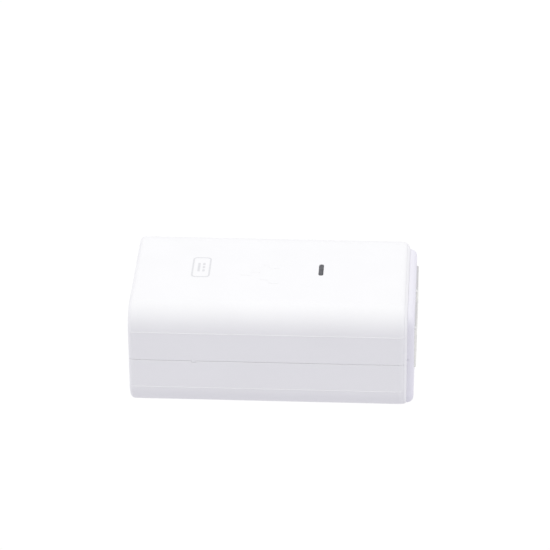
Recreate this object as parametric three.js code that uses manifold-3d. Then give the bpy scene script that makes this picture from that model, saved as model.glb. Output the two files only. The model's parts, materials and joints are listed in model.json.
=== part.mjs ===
// A mains-to-Ethernet power injector: a rounded two-shell case, closed at +X by a cap and a raised bezel
// with two network jacks, a three-pin mains inlet at -X, and the power supply board between them.
// Millimetres, +Z up. The shapes are drawn about the middle of the case, and the assembly then shifts
// along X so that the origin is the middle of its whole length, at the height of the underside.
import * as THREE from "three";
import { mergeVertices } from "three/addons/utils/BufferGeometryUtils.js";
import Module from "manifold-3d";

const wasm = await Module();
wasm.setup();

// ---- Driving dimensions ----

const GAP = 0.1; // assembly clearance between neighbouring pieces
const ROUND_STEPS = 28; // facets round a small cylinder

const CASE = {
  length: 84,
  width: 52,
  height: 34,
  corner: 7.8, // long edges
  edge: 2.4, // end edges
  wall: 2,
  seam: 17, // height of the parting plane
  seamGap: 0.2,
};
const END = CASE.length / 2;
const SIDE = CASE.width / 2;

const LIP = { inset: 1.2, rise: 1.3 }; // tongue of the bottom shell, behind the seam
const PRY_NOTCH = { x: -22.2, width: 1.6, depth: 0.5, height: 0.5 };
const SNAP = { places: [-20, 14], width: 6, thick: 1.2, inset: 3.6, reach: 1.2, foot: 13.5 };

const CAP = {
  rim: 0.85, // length of the band that is flush with the case
  spigot: 2.2,
};

const BEZEL = {
  step: 2.1, // how far it stands out of the case end
  halfWidth: 22.6,
  bottom: 0.2,
  top: 31.8,
  corner: 4.2,
  edge: 1.9,
  wall: 1.6,
};
const BEZEL_FACE = END + BEZEL.step;

// The part of the bezel that passes through the cap, and the barbs that catch behind it.
const PLUG = { halfWidth: 20.3, bottom: 5, top: 29.2, corner: 2.5, depth: 2.2, barb: 0.5, barbHalf: 4 };

const BOARD = { halfLength: 38.5, halfWidth: 21, thick: 1.6, top: 12 };
const POST = { x: 35.5, y: 18.2, radius: 2, pin: 1 };

const JACK = {
  centre: 11.1, // sideways distance of each jack from the middle
  width: 16.2,
  height: 14.4,
  depth: 18.2,
  proud: 0.6, // how far the shield stands out of the bezel
  shield: 0.3,
  portWidth: 11.9,
  portHeight: 6.9,
  portBase: 3.4, // from the bottom of the jack to the bottom of the port
  portDepth: 13,
  latchWidth: 6.2,
  latchDrop: 1.9,
  contacts: 8,
  contactPitch: 1.02,
};
const JACK_FRONT = BEZEL_FACE + JACK.proud;
const JACK_BASE = BOARD.top + GAP;

const BUTTON = { height: 18, radius: 1.2, flange: 1.9, recess: 0.4, travel: 0.5 };
const BUTTON_TAIL = BOARD.halfLength + 0.6; // where the button ends inside, at rest

const INLET = {
  halfWidth: 9.5,
  bottom: BOARD.top + GAP,
  height: 16,
  depth: 16,
  cavity: 11,
  corner: 2,
  lobe: 4.3,
  pinSpread: 5,
  pinRise: 3.2,
  earthDrop: 2.9,
  pinRadius: 1.2,
};
const INLET_MIDDLE = INLET.bottom + INLET.height / 2;

const LIGHT = { x: 15.1, y: 1.5, width: 1.3, length: 6.9, flange: 0.9 };
const LABEL = { length: 52, width: 30, recess: 0.4, thick: 0.2 };

// ---- Materials ----

const paint = (color, roughness, metalness = 0) =>
  new THREE.MeshStandardMaterial({ color, roughness, metalness });

const MATERIALS = {
  whitePlastic: () => paint(0xf4f4f8, 0.45),
  blackPlastic: () => paint(0x1c1c1e, 0.5),
  clearPlastic: () => paint(0x4a4c50, 0.15),
  greyPlastic: () => paint(0x8d9095, 0.5),
  board: () => paint(0x2f6b3c, 0.5),
  tin: () => paint(0xc8cacc, 0.3, 1),
  gold: () => paint(0xd8b25a, 0.3, 1),
  aluminium: () => paint(0xb4b7ba, 0.4, 1),
  ferrite: () => paint(0x3a3a3c, 0.7),
  copper: () => paint(0xb86a3a, 0.35, 1),
  tape: () => paint(0xd9c35a, 0.5),
  film: () => paint(0xe6e2c8, 0.6),
  blueCoat: () => paint(0x2f5fa8, 0.5),
  paper: () => paint(0xdcdce0, 0.7),
};

// ---- Solids ----

/** A manifold solid from a closed three.js geometry. */
function solid(geometry) {
  const plain = geometry.clone();
  plain.deleteAttribute("normal");
  plain.deleteAttribute("uv");
  const merged = mergeVertices(plain, 1e-4);
  const mesh = new wasm.Mesh({
    numProp: 3,
    vertProperties: merged.attributes.position.array,
    triVerts: new Uint32Array(merged.index.array),
  });
  return new wasm.Manifold(mesh);
}

/** The three.js geometry of a manifold solid. */
function geometryOf(shape) {
  const mesh = shape.getMesh();
  return new THREE.BufferGeometry()
    .setAttribute("position", new THREE.BufferAttribute(mesh.vertProperties, 3))
    .setIndex(new THREE.BufferAttribute(mesh.triVerts, 1));
}

const join = (first, ...rest) => rest.reduce((sum, part) => sum.add(part), first);
const cut = (first, ...tools) => tools.reduce((left, tool) => left.subtract(tool), first);

/** A box between two corners, each written as [x, y, z]. */
function block([x0, y0, z0], [x1, y1, z1]) {
  const box = new THREE.BoxGeometry(x1 - x0, y1 - y0, z1 - z0);
  return solid(box.translate((x0 + x1) / 2, (y0 + y1) / 2, (z0 + z1) / 2));
}

/** An upright cylinder standing on [x, y, z]. */
function post([x, y, z], radius, height, steps = ROUND_STEPS) {
  const geometry = new THREE.CylinderGeometry(radius, radius, height, steps);
  return solid(geometry.rotateX(Math.PI / 2).translate(x, y, z + height / 2));
}

/** A cylinder along +X from x0 to x1, centred on y and z. */
function rod(x0, x1, y, z, radius, steps = ROUND_STEPS) {
  const geometry = new THREE.CylinderGeometry(radius, radius, x1 - x0, steps);
  return solid(geometry.rotateZ(Math.PI / 2).translate((x0 + x1) / 2, y, z));
}

/** A rounded rectangle, given by its edges. */
function roundedOutline(left, right, bottom, top, radius) {
  const outline = new THREE.Shape();
  outline.absarc(right - radius, bottom + radius, radius, -Math.PI / 2, 0);
  outline.absarc(right - radius, top - radius, radius, 0, Math.PI / 2);
  outline.absarc(left + radius, top - radius, radius, Math.PI / 2, Math.PI);
  outline.absarc(left + radius, bottom + radius, radius, Math.PI, 1.5 * Math.PI);
  outline.closePath();
  return outline;
}

/** An outline drawn in Y and Z, pulled along X from x0 to x1, with both end edges rounded. */
function prismAlongX(outline, x0, x1, edge = 0, curveSegments = 9) {
  const geometry = new THREE.ExtrudeGeometry(outline, {
    depth: x1 - x0 - 2 * edge,
    bevelEnabled: edge > 0,
    bevelThickness: edge,
    bevelSize: edge,
    bevelOffset: -edge,
    bevelSegments: 4,
    curveSegments,
  });
  const axes = new THREE.Matrix4().makeBasis(
    new THREE.Vector3(0, 1, 0),
    new THREE.Vector3(0, 0, 1),
    new THREE.Vector3(1, 0, 0),
  );
  return solid(geometry.applyMatrix4(axes).translate(x0 + edge, 0, 0));
}

/** An outline drawn in X and Y, pulled up from z0 to z1. */
function prismUp(outline, z0, z1, curveSegments = 8) {
  const options = { depth: z1 - z0, bevelEnabled: false, curveSegments };
  return solid(new THREE.ExtrudeGeometry(outline, options).translate(0, 0, z0));
}

/** A solid of revolution about the upright line through [x, y], from [radius, z] points. */
function turned([x, y, z], profile, steps = ROUND_STEPS) {
  const points = profile.map(([radius, height]) => new THREE.Vector2(radius, height));
  const geometry = new THREE.LatheGeometry(points, steps);
  return solid(geometry.rotateX(Math.PI / 2).translate(x, y, z));
}

/** A round wire bent along a list of points. */
function wire(points, radius) {
  const path = new THREE.CatmullRomCurve3(points, false, "centripetal");
  const section = new THREE.Shape().absarc(0, 0, radius, 0, 2 * Math.PI);
  const options = { steps: 3 * points.length, curveSegments: 3, extrudePath: path };
  return solid(new THREE.ExtrudeGeometry(section, options));
}

// ---- The case ----

/** The case section, drawn in by `inset` on every side. */
const caseOutline = (inset = 0) =>
  roundedOutline(-SIDE + inset, SIDE - inset, inset, CASE.height - inset, CASE.corner - inset);

/** The whole rounded block that the shells and the rim of the cap are cut from. */
const caseBlock = () => prismAlongX(caseOutline(), -END, END, CASE.edge);

/** Everything between two heights. */
const slab = (bottom, top) => block([-2 * END, -2 * SIDE, bottom], [2 * END, 2 * SIDE, top]);

/** Everything between two places along X. */
const crossSlab = (x0, x1) => block([x0, -SIDE - 1, -1], [x1, SIDE + 1, CASE.height + 1]);

/** The hollow of the shells: open at the cap end, walled at the inlet end. */
const caseHollow = () => prismAlongX(caseOutline(CASE.wall), -END + CASE.wall, END + 1);

/** A band that follows the case walls between two insets. */
function wallBand(outerInset, innerInset, bottom, top) {
  const outer = prismAlongX(caseOutline(outerInset), -END + outerInset, END - CAP.rim);
  const inner = prismAlongX(caseOutline(innerInset), -END + innerInset, END + 1);
  return outer.subtract(inner).intersect(slab(bottom, top));
}

/** What the cap fills at the +X end of the shells. */
const capRoom = () => crossSlab(END - CAP.rim - GAP, END + 1);

/** The opening for the mains inlet in the end wall. */
const inletOpening = (clearance) =>
  prismAlongX(
    roundedOutline(
      -INLET.halfWidth - clearance,
      INLET.halfWidth + clearance,
      INLET.bottom - clearance,
      INLET.bottom + INLET.height + clearance,
      INLET.corner,
    ),
    -END - 1,
    -END + INLET.depth,
  );

/** The stadium of the status light, `grow` larger all round, in plan. */
function lightOutline(grow = 0) {
  const halfWidth = LIGHT.width / 2 + grow;
  const halfLength = LIGHT.length / 2 + grow;
  return roundedOutline(
    LIGHT.x - halfWidth,
    LIGHT.x + halfWidth,
    LIGHT.y - halfLength,
    LIGHT.y + halfLength,
    halfWidth * 0.98,
  );
}

/** A hook that hangs from the top shell beside one wall; `side` is -1 or 1. */
function snapHook(x, side) {
  const inner = SIDE - SNAP.inset;
  const outer = inner + SNAP.thick;
  const along = [x - SNAP.width / 2, x + SNAP.width / 2];
  const across = (a, b, z0, z1) =>
    block([along[0], Math.min(side * a, side * b), z0], [along[1], Math.max(side * a, side * b), z1]);
  return join(
    across(inner, outer, SNAP.foot, CASE.seam + 5),
    across(inner, SIDE - CASE.wall + 0.4, CASE.seam + 3, CASE.seam + 5),
    across(inner, outer + SNAP.reach, SNAP.foot, SNAP.foot + 1.2),
  );
}

/** The pocket in the bottom shell that holds the barb of one hook. */
function snapPocket(x, side) {
  const near = side * (SIDE - CASE.wall - 1);
  const far = side * (SIDE - SNAP.inset + SNAP.thick + SNAP.reach + 0.3);
  return block(
    [x - SNAP.width / 2 - 0.4, Math.min(near, far), SNAP.foot - 0.4],
    [x + SNAP.width / 2 + 0.4, Math.max(near, far), SNAP.foot + 1.7],
  );
}

const forEachSnap = (make) => SNAP.places.flatMap((x) => [make(x, -1), make(x, 1)]);

function topShell() {
  const half = cut(
    caseBlock(),
    slab(-1, CASE.seam + CASE.seamGap / 2),
    caseHollow(),
    capRoom(),
    wallBand(LIP.inset - 0.3, CASE.wall + 0.1, CASE.seam, CASE.seam + LIP.rise + 0.3),
    inletOpening(GAP),
    prismUp(lightOutline(GAP), CASE.height - CASE.wall - 1, CASE.height + 1),
  );
  return join(half, ...forEachSnap(snapHook));
}

function bottomShell() {
  const base = cut(caseBlock(), slab(CASE.seam - CASE.seamGap / 2, CASE.height + 1), caseHollow(), capRoom());
  const lip = wallBand(LIP.inset, CASE.wall, CASE.seam - 1, CASE.seam + LIP.rise);
  const posts = [-1, 1].flatMap((end) => [-1, 1].map((side) => boardPost(end, side)));
  const notch = block(
    [PRY_NOTCH.x - PRY_NOTCH.width / 2, -SIDE - 1, CASE.seam - PRY_NOTCH.height],
    [PRY_NOTCH.x + PRY_NOTCH.width / 2, -SIDE + PRY_NOTCH.depth, CASE.seam],
  );
  const labelRecess = prismUp(labelOutline(0.2), -1, LABEL.recess);
  return cut(join(base, lip, ...posts), inletOpening(GAP), notch, labelRecess, ...forEachSnap(snapPocket));
}

/** One stand for the board, with a locating pin at the inlet end. */
function boardPost(end, side) {
  const floor = CASE.wall / 2;
  const foot = [end * POST.x, side * POST.y, floor];
  const stand = post(foot, POST.radius, BOARD.top - BOARD.thick - GAP - floor);
  if (end > 0) return stand;
  return join(stand, post(foot, POST.pin, BOARD.top + 0.8 - floor));
}

const labelOutline = (grow = 0) =>
  roundedOutline(
    -LABEL.length / 2 - grow,
    LABEL.length / 2 + grow,
    -LABEL.width / 2 - grow,
    LABEL.width / 2 + grow,
    2,
  );

const ratingLabel = () =>
  prismUp(labelOutline(), LABEL.recess - GAP - LABEL.thick, LABEL.recess - GAP);

const bezelOutline = () =>
  roundedOutline(-BEZEL.halfWidth, BEZEL.halfWidth, BEZEL.bottom, BEZEL.top, BEZEL.corner);

const plugOutline = (grow = 0) =>
  roundedOutline(
    -PLUG.halfWidth - grow,
    PLUG.halfWidth + grow,
    PLUG.bottom - grow,
    PLUG.top + grow,
    PLUG.corner + grow,
  );

/** The frame that closes the shells: a flush rim, the seat of the bezel, and a spigot inside the walls. */
function endCap() {
  const rimStart = END - CAP.rim;
  const rim = caseBlock().intersect(crossSlab(rimStart, END + 1));
  const seat = prismAlongX(bezelOutline(), rimStart, END);
  const spigot = prismAlongX(caseOutline(CASE.wall + GAP), rimStart - CAP.spigot, rimStart + 0.2);
  const behindRim = prismAlongX(caseOutline(2 * CASE.wall), rimStart - CAP.spigot - 1, rimStart);
  const opening = prismAlongX(plugOutline(GAP), rimStart - 1, END + 1);
  return cut(join(rim, seat, spigot), behindRim, opening);
}

/** The raised face round the jacks, held in the cap by its hollow plug. */
function portBezel() {
  const whole = prismAlongX(bezelOutline(), END - 2 * BEZEL.edge, BEZEL_FACE, BEZEL.edge);
  const front = whole.intersect(crossSlab(END + GAP, BEZEL_FACE + 1));
  const plug = prismAlongX(plugOutline(), END - PLUG.depth, END + 1);
  const hollow = prismAlongX(plugOutline(-BEZEL.wall), END - PLUG.depth - 1, BEZEL_FACE - BEZEL.wall);
  const topBarb = plugBarb(PLUG.top - 0.5, PLUG.top + PLUG.barb);
  const bottomBarb = plugBarb(PLUG.bottom - PLUG.barb, PLUG.bottom + 0.5);
  return cut(
    join(front, plug, topBarb, bottomBarb),
    hollow,
    jackWindow(-1),
    jackWindow(1),
    rod(END - 1, BEZEL_FACE + 1, 0, BUTTON.height, BUTTON.radius + 0.2),
  );
}

const plugBarb = (bottom, top) =>
  block([END - PLUG.depth, -PLUG.barbHalf, bottom], [END - CAP.rim - GAP, PLUG.barbHalf, top]);

/** The hole in the bezel for one jack. */
function jackWindow(side) {
  const half = JACK.width / 2 + GAP;
  return block(
    [END - PLUG.depth - 1, side * JACK.centre - half, JACK_BASE - GAP],
    [BEZEL_FACE + 1, side * JACK.centre + half, JACK_BASE + JACK.height + GAP],
  );
}

// ---- Network jacks ----

/** A box in a jack's own terms: back from its front, sideways from its middle, up from its base. */
function jackBlock(side, [depth0, depth1], halfWidth, [low, high]) {
  const y = side * JACK.centre;
  return block(
    [JACK_FRONT - depth1, y - halfWidth, JACK_BASE + low],
    [JACK_FRONT - depth0, y + halfWidth, JACK_BASE + high],
  );
}

/** The space for a plug, with the slot for its latch below it. */
function portRoom(side) {
  const port = [JACK.portBase, JACK.portBase + JACK.portHeight];
  const latch = [JACK.portBase - JACK.latchDrop, JACK.portBase + 1];
  return join(
    jackBlock(side, [-1, JACK.portDepth], JACK.portWidth / 2, port),
    jackBlock(side, [-1, JACK.portDepth], JACK.latchWidth / 2, latch),
  );
}

/** The metal can round a jack, open behind, with the port cut in its front. */
function jackShield(side) {
  const half = JACK.width / 2;
  const can = jackBlock(side, [0, JACK.depth], half, [0, JACK.height]);
  const inside = jackBlock(side, [JACK.shield, JACK.depth + 1], half - JACK.shield, [
    -1,
    JACK.height - JACK.shield,
  ]);
  return cut(can, inside, portRoom(side));
}

/** The plastic body inside the can, with the port, and a slot above it for the contacts. */
function jackHousing(side) {
  const clear = JACK.shield + GAP;
  const half = JACK.width / 2 - clear;
  const body = jackBlock(side, [clear, JACK.depth - 1], half, [0, JACK.height - clear]);
  const contactSlot = jackBlock(side, [3, JACK.depth], JACK.portWidth / 2 - 1, [
    JACK.portBase + 1,
    JACK.height - 2,
  ]);
  return cut(body, portRoom(side), contactSlot);
}

/** The carrier at the back of a jack with its row of spring contacts. */
function jackContacts(side) {
  const rearHalf = JACK.portWidth / 2 - 1.2;
  const carrier = jackBlock(side, [JACK.portDepth + 0.5, JACK.depth - 1.4], rearHalf, [
    JACK.portBase + 1.2,
    JACK.height - 2.2,
  ]);
  const first = -(JACK.contacts - 1) / 2;
  const springs = Array.from({ length: JACK.contacts }, (_, i) => {
    const y = side * JACK.centre + (first + i) * JACK.contactPitch;
    const back = new THREE.Vector3(JACK_FRONT - JACK.portDepth - 1, y, JACK_BASE + 8);
    const front = new THREE.Vector3(JACK_FRONT - 4, y, JACK_BASE + JACK.height - 3.1);
    const bend = new THREE.Vector3(JACK_FRONT - 5, y, JACK_BASE + JACK.height - 3.3);
    return wire([back, bend, front], 0.22);
  });
  return join(carrier, ...springs);
}

// ---- Mains inlet ----

/** Where each pin of the inlet stands, sideways and up. */
const INLET_PINS = {
  inlet_pin_line: [-INLET.pinSpread, INLET_MIDDLE + INLET.pinRise],
  inlet_pin_neutral: [INLET.pinSpread, INLET_MIDDLE + INLET.pinRise],
  inlet_pin_earth: [0, INLET_MIDDLE - INLET.earthDrop],
};

function inletHousing() {
  const face = -END + 0.2;
  const outline = roundedOutline(
    -INLET.halfWidth,
    INLET.halfWidth,
    INLET.bottom,
    INLET.bottom + INLET.height,
    INLET.corner,
  );
  const body = prismAlongX(outline, face, -END + INLET.depth);
  const floor = face + INLET.cavity;
  const lobes = Object.values(INLET_PINS).map(([y, z]) => rod(face - 1, floor, y, z, INLET.lobe));
  const waist = block(
    [face - 1, -INLET.pinSpread, INLET_MIDDLE - INLET.earthDrop],
    [floor, INLET.pinSpread, INLET_MIDDLE + INLET.pinRise + 1.5],
  );
  const pinHoles = Object.values(INLET_PINS).map(([y, z]) => rod(face, 0, y, z, INLET.pinRadius + GAP));
  return cut(body, ...lobes, waist, ...pinHoles);
}

/** One round pin with a flat tail that goes down into the board. */
function inletPin([y, z]) {
  const back = -END + INLET.depth;
  const pin = rod(-END + 1.6, back + 1.4, y, z, INLET.pinRadius);
  const tail = block([back + 0.4, y - 0.7, BOARD.top + GAP], [back + 1.2, y + 0.7, z]);
  return join(pin, tail);
}

// ---- Board and light ----

function circuitBoard() {
  const bottom = BOARD.top - BOARD.thick;
  const plate = block(
    [-BOARD.halfLength, -BOARD.halfWidth, bottom],
    [BOARD.halfLength, BOARD.halfWidth, BOARD.top],
  );
  const inletNotch = block(
    [-BOARD.halfLength - 1, -INLET.halfWidth - 1, bottom - 1],
    [-END + 5, INLET.halfWidth + 1, BOARD.top + 1],
  );
  const holes = [-1, 1].map((side) => post([-POST.x, side * POST.y, bottom - 1], POST.pin + 0.2, 4));
  return cut(plate, inletNotch, ...holes);
}

const insulationSheet = () => block([-33, -15.5, CASE.wall + GAP], [33, 15.5, CASE.wall + 0.5]);

/** A clear column from the light on the board to the slot in the top of the case. */
function lightPipe() {
  const bottom = BOARD.top + 1.7;
  const flangeTop = CASE.height - CASE.wall - GAP;
  return join(
    prismUp(lightOutline(), bottom, CASE.height - 0.1),
    prismUp(lightOutline(LIGHT.flange), flangeTop - 0.9, flangeTop),
  );
}

const statusLed = () =>
  block([LIGHT.x - 0.8, LIGHT.y - 1.6, BOARD.top + GAP], [LIGHT.x + 0.8, LIGHT.y + 1.6, BOARD.top + 1.3]);

// ---- Components on the board ----

const ON_BOARD = BOARD.top + GAP;

/** A box standing on the board: centre in plan, size. */
const chip = ([x, y], [length, width, height]) =>
  block([x - length / 2, y - width / 2, ON_BOARD], [x + length / 2, y + width / 2, ON_BOARD + height]);

/** A chip package with leads along both long sides, stood off the board. */
function leadedChip([x, y], [length, width, height], leads) {
  const lift = 0.4;
  const body = block(
    [x - length / 2, y - width / 2, ON_BOARD + lift],
    [x + length / 2, y + width / 2, ON_BOARD + height],
  );
  const pitch = length / leads;
  const legs = Array.from({ length: leads }, (_, i) => {
    const centre = x - length / 2 + (i + 0.5) * pitch;
    const reach = width / 2 + 0.7;
    const top = ON_BOARD + height / 2;
    const bar = block([centre - pitch / 5, y - reach, top - 0.2], [centre + pitch / 5, y + reach, top]);
    const feet = [-1, 1].map((side) =>
      block(
        [centre - pitch / 5, y + side * (reach - 0.2) - 0.2, ON_BOARD],
        [centre + pitch / 5, y + side * (reach - 0.2) + 0.2, top],
      ),
    );
    return join(bar, ...feet);
  });
  return join(body, ...legs);
}

/** A can capacitor with its crimped neck and pressed top. */
const canCapacitor = ([x, y], radius, height) =>
  turned(
    [x, y, ON_BOARD],
    [
      [0, 0],
      [radius * 0.85, 0],
      [radius, 0.5],
      [radius, 1.4],
      [radius - 0.4, 1.9],
      [radius, 2.4],
      [radius, height - 0.5],
      [radius - 0.5, height],
      [radius - 1, height],
      [radius - 1.1, height - 0.3],
      [0, height - 0.3],
    ],
  );

/** A coated disc standing on edge on two short legs. */
function discComponent([x, y], radius, thick) {
  const lift = 1;
  const rounded = radius * 0.86;
  const middle = ON_BOARD + lift + radius;
  const disc = join(
    rod(x - thick / 2, x + thick / 2, y, middle, rounded),
    rod(x - thick / 4, x + thick / 4, y, middle, radius),
  );
  const legs = [-1, 1].map((side) =>
    block([x - 0.3, y + side * 2.5 - 0.3, ON_BOARD], [x + 0.3, y + side * 2.5 + 0.3, middle - 1]),
  );
  return join(disc, ...legs);
}

/** A power transistor package standing on edge, its tab against `side`. */
function transistor([x, y], side) {
  const low = ON_BOARD + 1.5;
  const slice = (reach, height) =>
    block([x - 5, Math.min(y, y + side * reach), low], [x + 5, Math.max(y, y + side * reach), low + height]);
  const tab = slice(1.2, 13);
  const body = slice(-3, 8.5);
  const legs = [-2.5, 0, 2.5].map((shift) =>
    block([x + shift - 0.4, y - side * 1 - 0.3, ON_BOARD], [x + shift + 0.4, y - side * 1 + 0.3, low + 1]),
  );
  return join(tab, body, ...legs);
}

/** A finned plate standing along a side wall. */
function heatsink([x, y], length, side) {
  const height = 14;
  const plate = block([x - length / 2, y - 0.5, ON_BOARD], [x + length / 2, y + 0.5, ON_BOARD + height]);
  const lips = [-1, 1].map((end) => {
    const at = x + (end * (length - 1)) / 2;
    return block(
      [at - 0.5, Math.min(y, y + side * 1.6), ON_BOARD],
      [at + 0.5, Math.max(y, y + side * 1.6), ON_BOARD + height],
    );
  });
  return join(plate, ...lips);
}

const CHOKE = { at: [-17.5, 12], inner: 3.4, outer: 5.6, height: 5, base: ON_BOARD + 1.4 };

function chokeCore() {
  const { at, inner, outer, height, base } = CHOKE;
  return turned(
    [...at, base],
    [
      [inner, 0],
      [outer, 0],
      [outer, height],
      [inner, height],
      [inner, 0],
    ],
  );
}

/** One winding round half of the choke core; `turn` swings it about the middle. */
function chokeWinding(turn) {
  const { at, inner, outer, height, base } = CHOKE;
  const wireRadius = 0.4;
  const reach = wireRadius + 0.25;
  const turns = 5;
  const halfSweep = 0.9;
  const corners = [
    [inner - reach, base - reach],
    [outer + reach, base - reach],
    [outer + reach, base + height + reach],
    [inner - reach, base + height + reach],
  ];
  const points = Array.from({ length: turns * corners.length + 1 }, (_, i) => {
    const [radius, z] = corners[i % corners.length];
    const angle = turn - halfSweep + (2 * halfSweep * i) / (turns * corners.length);
    return new THREE.Vector3(at[0] + radius * Math.cos(angle), at[1] + radius * Math.sin(angle), z);
  });
  return wire(points, wireRadius);
}

const TRANSFORMER = {
  at: [4.5, -7.5],
  width: 21,
  height: 15,
  leg: 3.6,
  centreLeg: 5,
  coreDepth: 6,
  lift: 1.5,
};

/** Two E halves closed on each other: an outer frame with a leg through its middle. */
function transformerCore() {
  const { at, width, height, leg, centreLeg, coreDepth, lift } = TRANSFORMER;
  const low = ON_BOARD + lift;
  const half = coreDepth / 2;
  const frame = block(
    [at[0] - half, at[1] - width / 2, low],
    [at[0] + half, at[1] + width / 2, low + height],
  );
  const windows = [-1, 1].map((side) => {
    const inner = at[1] + (side * centreLeg) / 2;
    const outer = at[1] + side * (width / 2 - leg);
    return block(
      [at[0] - half - 1, Math.min(inner, outer), low + leg * 0.8],
      [at[0] + half + 1, Math.max(inner, outer), low + height - leg * 0.8],
    );
  });
  return cut(frame, ...windows);
}

/** The span of the winding window, with a clearance above and below. */
function windingSpan() {
  const { height, leg, lift } = TRANSFORMER;
  const low = ON_BOARD + lift;
  return [low + leg * 0.8 + GAP, low + height - leg * 0.8 - GAP];
}

/** A square ring round the centre leg: how far its inside and outside stand from the leg. */
function legRing(inner, outer, low, high) {
  const { at, centreLeg, coreDepth } = TRANSFORMER;
  const ringBlock = (out, z0, z1) =>
    block(
      [at[0] - coreDepth / 2 - out, at[1] - centreLeg / 2 - out, z0],
      [at[0] + coreDepth / 2 + out, at[1] + centreLeg / 2 + out, z1],
    );
  return cut(ringBlock(outer, low, high), ringBlock(inner, low - 1, high + 1));
}

const BOBBIN = { wall: 0.8, flange: 4, flangeThick: 0.8 };

function transformerBobbin() {
  const [low, high] = windingSpan();
  const { wall, flange, flangeThick } = BOBBIN;
  return join(
    legRing(GAP, GAP + wall, low, high),
    legRing(GAP, flange, low, low + flangeThick),
    legRing(GAP, flange, high - flangeThick, high),
  );
}

function transformerWinding() {
  const [low, high] = windingSpan();
  const { wall, flange, flangeThick } = BOBBIN;
  return legRing(wall + 2 * GAP, flange - 0.3, low + flangeThick + GAP, high - flangeThick - GAP);
}

const outputInductor = () =>
  turned(
    [15, -9.4, ON_BOARD],
    [
      [0, 0],
      [2.6, 0],
      [2.6, 1],
      [1.9, 1.4],
      [1.9, 6.6],
      [2.6, 7],
      [2.6, 8],
      [0, 8],
    ],
  );

/** A right-angle push switch between the jacks, facing the button and clear of its full travel. */
function resetSwitch() {
  const tip = BUTTON_TAIL - BUTTON.travel - 2 * GAP;
  const face = tip - 0.5;
  const body = block([face - 3.5, -2.2, ON_BOARD], [face, 2.2, BUTTON.height + 2.4]);
  return join(body, rod(face - 1, tip, 0, BUTTON.height, 0.9));
}

/** The button: a pin with a collar that keeps it behind the bezel face. */
function resetButton() {
  const tip = BEZEL_FACE - BUTTON.recess;
  const collar = BEZEL_FACE - BEZEL.wall - 0.3;
  return join(
    rod(BUTTON_TAIL, tip, 0, BUTTON.height, BUTTON.radius),
    rod(collar - 0.9, collar, 0, BUTTON.height, BUTTON.flange),
  );
}

// ---- The assembly ----

const M = MATERIALS;
const PIECES = {
  top_shell: [topShell, M.whitePlastic],
  bottom_shell: [bottomShell, M.whitePlastic],
  end_cap: [endCap, M.whitePlastic],
  port_bezel: [portBezel, M.whitePlastic],
  rating_label: [ratingLabel, M.paper],
  light_pipe: [lightPipe, M.clearPlastic],
  status_led: [statusLed, M.whitePlastic],
  circuit_board: [circuitBoard, M.board],
  insulation_sheet: [insulationSheet, M.film],
  poe_jack_shield: [() => jackShield(-1), M.tin],
  poe_jack_housing: [() => jackHousing(-1), M.blackPlastic],
  poe_jack_contacts: [() => jackContacts(-1), M.gold],
  lan_jack_shield: [() => jackShield(1), M.tin],
  lan_jack_housing: [() => jackHousing(1), M.blackPlastic],
  lan_jack_contacts: [() => jackContacts(1), M.gold],
  reset_switch: [resetSwitch, M.blackPlastic],
  reset_button: [resetButton, M.greyPlastic],
  inlet_housing: [inletHousing, M.blackPlastic],
  inlet_pin_line: [() => inletPin(INLET_PINS.inlet_pin_line), M.tin],
  inlet_pin_neutral: [() => inletPin(INLET_PINS.inlet_pin_neutral), M.tin],
  inlet_pin_earth: [() => inletPin(INLET_PINS.inlet_pin_earth), M.tin],
  mains_fuse: [() => post([-29.6, -15, ON_BOARD], 4, 8), M.blackPlastic],
  surge_varistor: [() => discComponent([-29.6, 15], 4.2, 3.2), M.blueCoat],
  x_capacitor: [() => chip([-20, -12.5], [6, 13, 11]), M.tape],
  choke_core: [chokeCore, M.ferrite],
  choke_winding_line: [() => chokeWinding(0), M.copper],
  choke_winding_neutral: [() => chokeWinding(Math.PI), M.copper],
  bridge_rectifier: [() => leadedChip([-19.6, -0.4], [8.2, 5.2, 3.2], 2), M.blackPlastic],
  bulk_capacitor_a: [() => canCapacitor([-9.5, -14.6], 5, 16), M.blackPlastic],
  bulk_capacitor_b: [() => canCapacitor([-9.5, -3.6], 5, 16), M.blackPlastic],
  transformer_core: [transformerCore, M.ferrite],
  transformer_bobbin: [transformerBobbin, M.blackPlastic],
  transformer_winding: [transformerWinding, M.tape],
  primary_heatsink: [() => heatsink([1, 18.6], 18, 1), M.aluminium],
  switching_transistor: [() => transistor([1, 16.7], 1), M.blackPlastic],
  pwm_controller: [() => leadedChip([4.5, 9.4], [5, 3.8, 1.7], 4), M.blackPlastic],
  safety_capacitor: [() => discComponent([-2.6, 8.6], 3.4, 2.8), M.blueCoat],
  optocoupler: [() => leadedChip([12.6, 13], [5, 5.2, 3.6], 2), M.blackPlastic],
  secondary_heatsink: [() => heatsink([19.4, -18.6], 12, -1), M.aluminium],
  output_rectifier: [() => transistor([19.4, -16.7], -1), M.blackPlastic],
  output_inductor: [outputInductor, M.ferrite],
  output_capacitor_a: [() => canCapacitor([22.4, -8], 3.9, 13), M.blackPlastic],
  output_capacitor_b: [() => canCapacitor([22.4, 7], 3.9, 13), M.blackPlastic],
  ethernet_magnetics: [() => leadedChip([20.6, 15.6], [9.6, 6, 4.2], 6), M.blackPlastic],
};

/** The bezel and the jacks lengthen one end only, so the case is not centred on the whole. */
const CENTRING = -(BEZEL.step + JACK.proud) / 2;

const injector = new THREE.Group();
for (const [name, [make, material]] of Object.entries(PIECES)) {
  const piece = new THREE.Mesh(geometryOf(make()), material());
  piece.name = name;
  piece.position.x = CENTRING;
  injector.add(piece);
}

export default injector;
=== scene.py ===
"""Looks for the power injector: case, port cap, bezel, jacks, mains socket, marks and studio.

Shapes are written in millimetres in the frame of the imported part. A mesh is scaled to metres when made.
"""

import json
import math

import bmesh
import bpy
from mathutils import Matrix, Vector


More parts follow.
